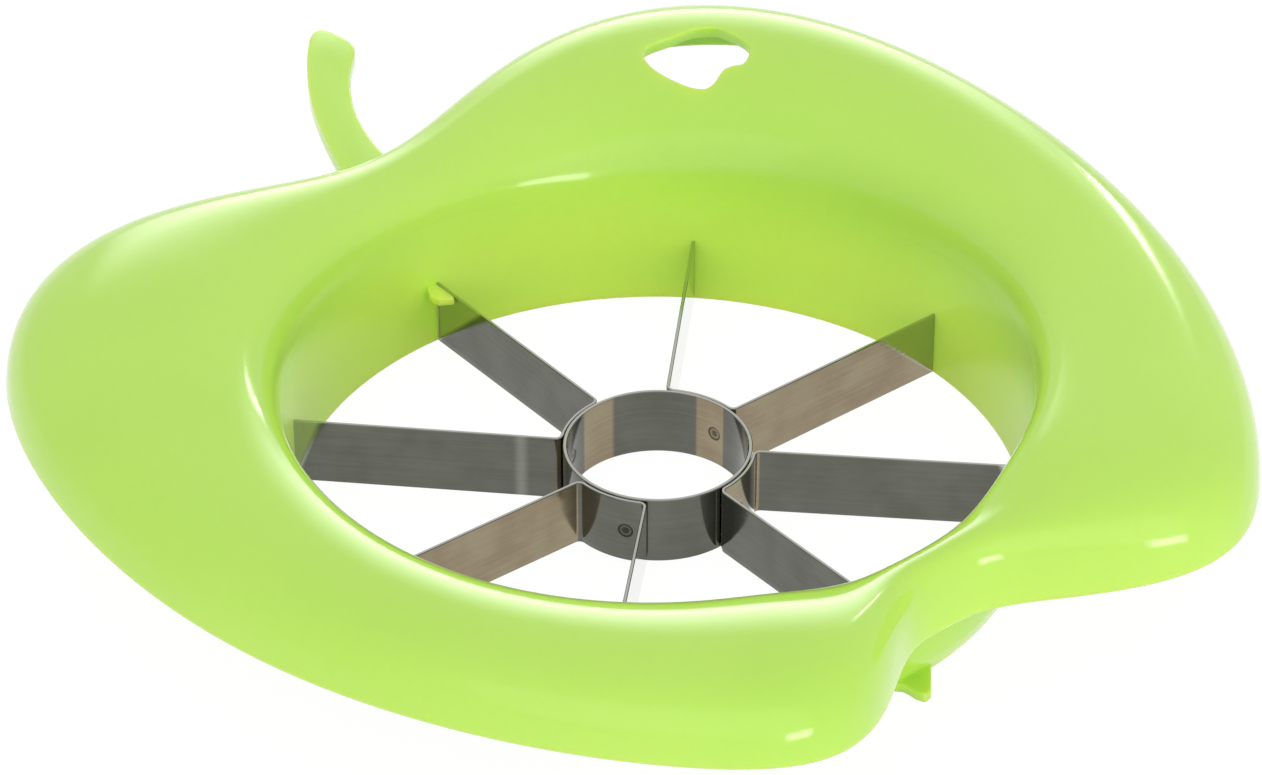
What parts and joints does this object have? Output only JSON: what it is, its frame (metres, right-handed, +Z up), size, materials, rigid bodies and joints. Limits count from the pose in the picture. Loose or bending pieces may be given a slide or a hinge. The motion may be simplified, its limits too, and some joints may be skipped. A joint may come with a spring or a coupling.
{
  "type": "apple slicer and corer",
  "caption": "Apple-shaped moulded grip shell round an opening with radial steel blades and a core ring; pressed down over an apple to core it and cut it into wedges.",
  "frame": {"origin": "middle of the bottom of the whole part's bounding box, on the plane that it rests on", "axes": "+Z up, out of the top of the opening; +Y towards the stem; the core ring's axis is parallel to Z at x 0.25 mm, y -13.48 mm"},
  "size_m": [0.1476, 0.168, 0.0301],
  "materials": {
    "green_plastic": "gloss, slightly translucent",
    "blade_steel": "bright rolled"
  },
  "bodies": {
    "root": {"grip_shell": "green_plastic", "core_ring": "blade_steel", "blade_strip_1": "blade_steel", "blade_strip_2": "blade_steel", "blade_strip_3": "blade_steel", "blade_strip_4": "blade_steel"}
  },
  "joints": []
}
